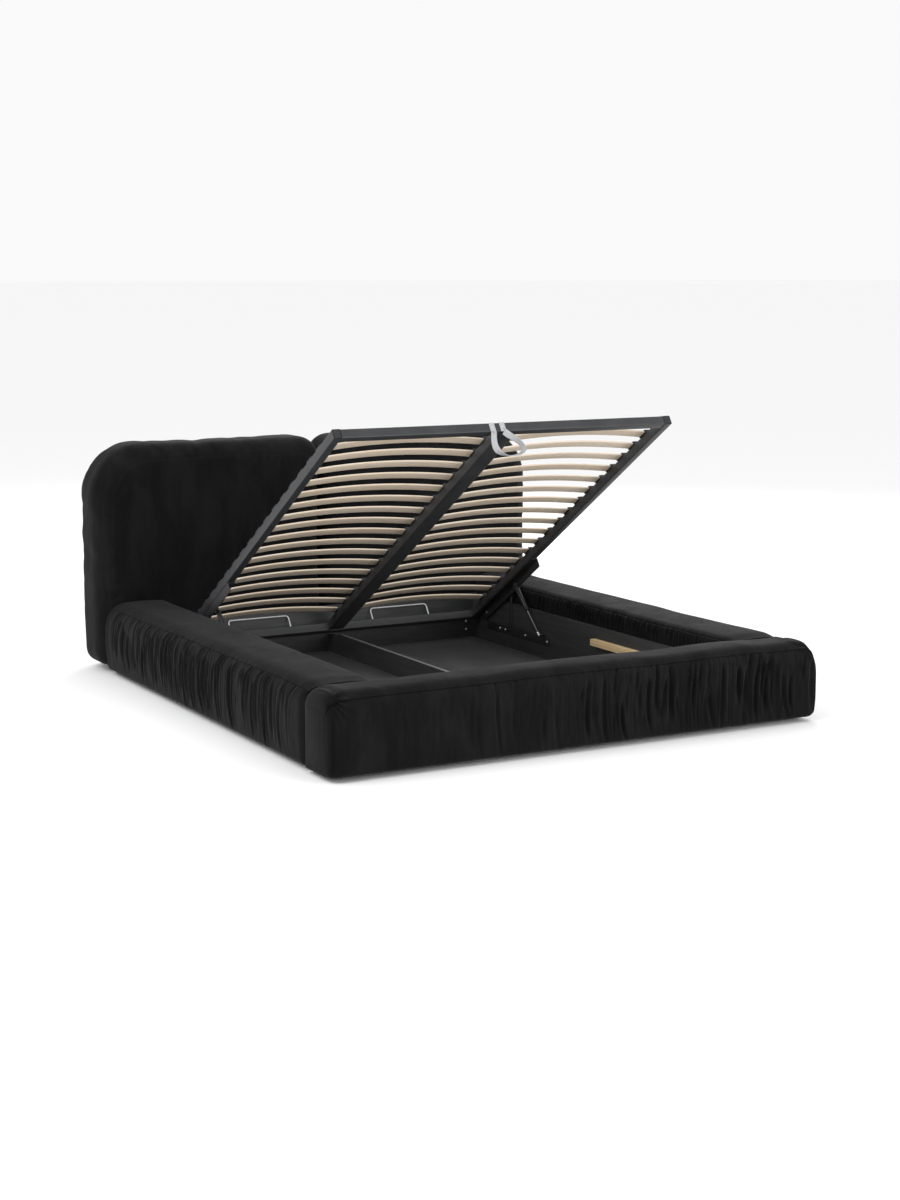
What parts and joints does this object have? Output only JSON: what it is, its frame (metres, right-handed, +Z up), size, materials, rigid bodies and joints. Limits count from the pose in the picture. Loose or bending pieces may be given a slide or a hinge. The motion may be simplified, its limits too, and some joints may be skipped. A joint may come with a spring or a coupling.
{
  "type": "storage bed",
  "caption": "Upholstered platform bed with deep padded rails, a two-cushion headboard and a lift-up slatted platform on gas struts over a divided storage box.",
  "frame": {"origin": "on the floor, at the centre of the bed's outline", "axes": "+X to the right seen from the foot, +Y towards the headboard, +Z up; the platform stands open by 33 degrees at rest"},
  "size_m": [2.27, 2.668, 1.238],
  "materials": {
    "velvet": "matte",
    "chipboard": "matte",
    "dark_board": "satin",
    "floor_board": "satin",
    "bare_pine": "matte",
    "beech": "satin",
    "powder_coat": "satin",
    "zinc_steel": "satin",
    "chrome_rod": "polished",
    "strut_paint": "satin",
    "black_plastic": "matte",
    "webbing": "matte"
  },
  "bodies": {
    "root": {"box_divider": "dark_board", "box_foot_panel": "dark_board", "box_head_panel": "dark_board", "box_side_panel_left": "dark_board", "box_side_panel_right": "dark_board", "floor_panel_left": "floor_board", "floor_panel_right": "floor_board", "foot_rail_core": "chipboard", "foot_rail_cushion": "velvet", "glide_centre": "black_plastic", "glide_foot_left": "black_plastic", "glide_foot_right": "black_plastic", "glide_head_left": "black_plastic", "glide_head_right": "black_plastic", "headboard_core": "chipboard", "headboard_cushion_left": "velvet", "headboard_cushion_right": "velvet", "hinge_base_left": "powder_coat", "hinge_base_right": "powder_coat", "pivot_pin_left": "zinc_steel", "pivot_pin_right": "zinc_steel", "side_rail_core_left": "chipboard", "side_rail_core_right": "chipboard", "side_rail_cushion_left": "velvet", "side_rail_cushion_right": "velvet", "support_batten_left": "bare_pine", "support_batten_right": "bare_pine"},
    "platform": {"frame_centre_tube": "powder_coat", "frame_foot_bar": "powder_coat", "frame_head_bar": "powder_coat", "frame_side_left": "powder_coat", "frame_side_right": "powder_coat", "hinge_bracket_left": "powder_coat", "hinge_bracket_right": "powder_coat", "mattress_stop_left": "zinc_steel", "mattress_stop_right": "zinc_steel", "slat_row_01": "beech", "slat_row_02": "beech", "slat_row_03": "beech", "slat_row_04": "beech", "slat_row_05": "beech", "slat_row_06": "beech", "slat_row_07": "beech", "slat_row_08": "beech", "slat_row_09": "beech", "slat_row_10": "beech", "slat_row_11": "beech", "slat_row_12": "beech", "slat_row_13": "beech", "slat_row_14": "beech", "slat_row_15": "beech", "slat_row_16": "beech", "slat_row_17": "beech", "strap_anchor": "webbing"},
    "strap": {"pull_strap": "webbing"},
    "strut_rods": {"strut_rod_left": "chrome_rod", "strut_rod_right": "chrome_rod"},
    "strut_cylinders": {"strut_cylinder_left": "strut_paint", "strut_cylinder_right": "strut_paint"}
  },
  "joints": [
    {"name": "platform_lift", "type": "hinge", "parent": "root", "child": "platform", "pos_m": [0, 0.8365, 0.168], "axis": [1, 0, 0], "range_deg": [0, 33], "stiffness_Nm_per_rad": 150, "springref_deg": -126.05},
    {"name": "strap_swing", "type": "hinge", "parent": "platform", "child": "strap", "pos_m": [0, -0.72503, 1.20353], "axis": [1, 0, 0], "range_deg": [0, 33.1]},
    {"name": "strut_tilt", "type": "hinge", "parent": "root", "child": "strut_rods", "pos_m": [0, 0.311, 0.137], "axis": [1, 0, 0], "range_deg": [-36.5, 0]},
    {"name": "strut_stroke", "type": "slide", "parent": "strut_rods", "child": "strut_cylinders", "axis": [0, 0.7281, 0.6854], "range_m": [-0.13454, 0]}
  ],
  "couplings": [
    {"joint": "strap_swing", "follows": "platform_lift", "ratio": 1},
    {"joint": "strut_tilt", "follows": "platform_lift", "ratio": -1.1044},
    {"joint": "strut_stroke", "follows": "platform_lift", "m_per_rad": -0.23325}
  ]
}
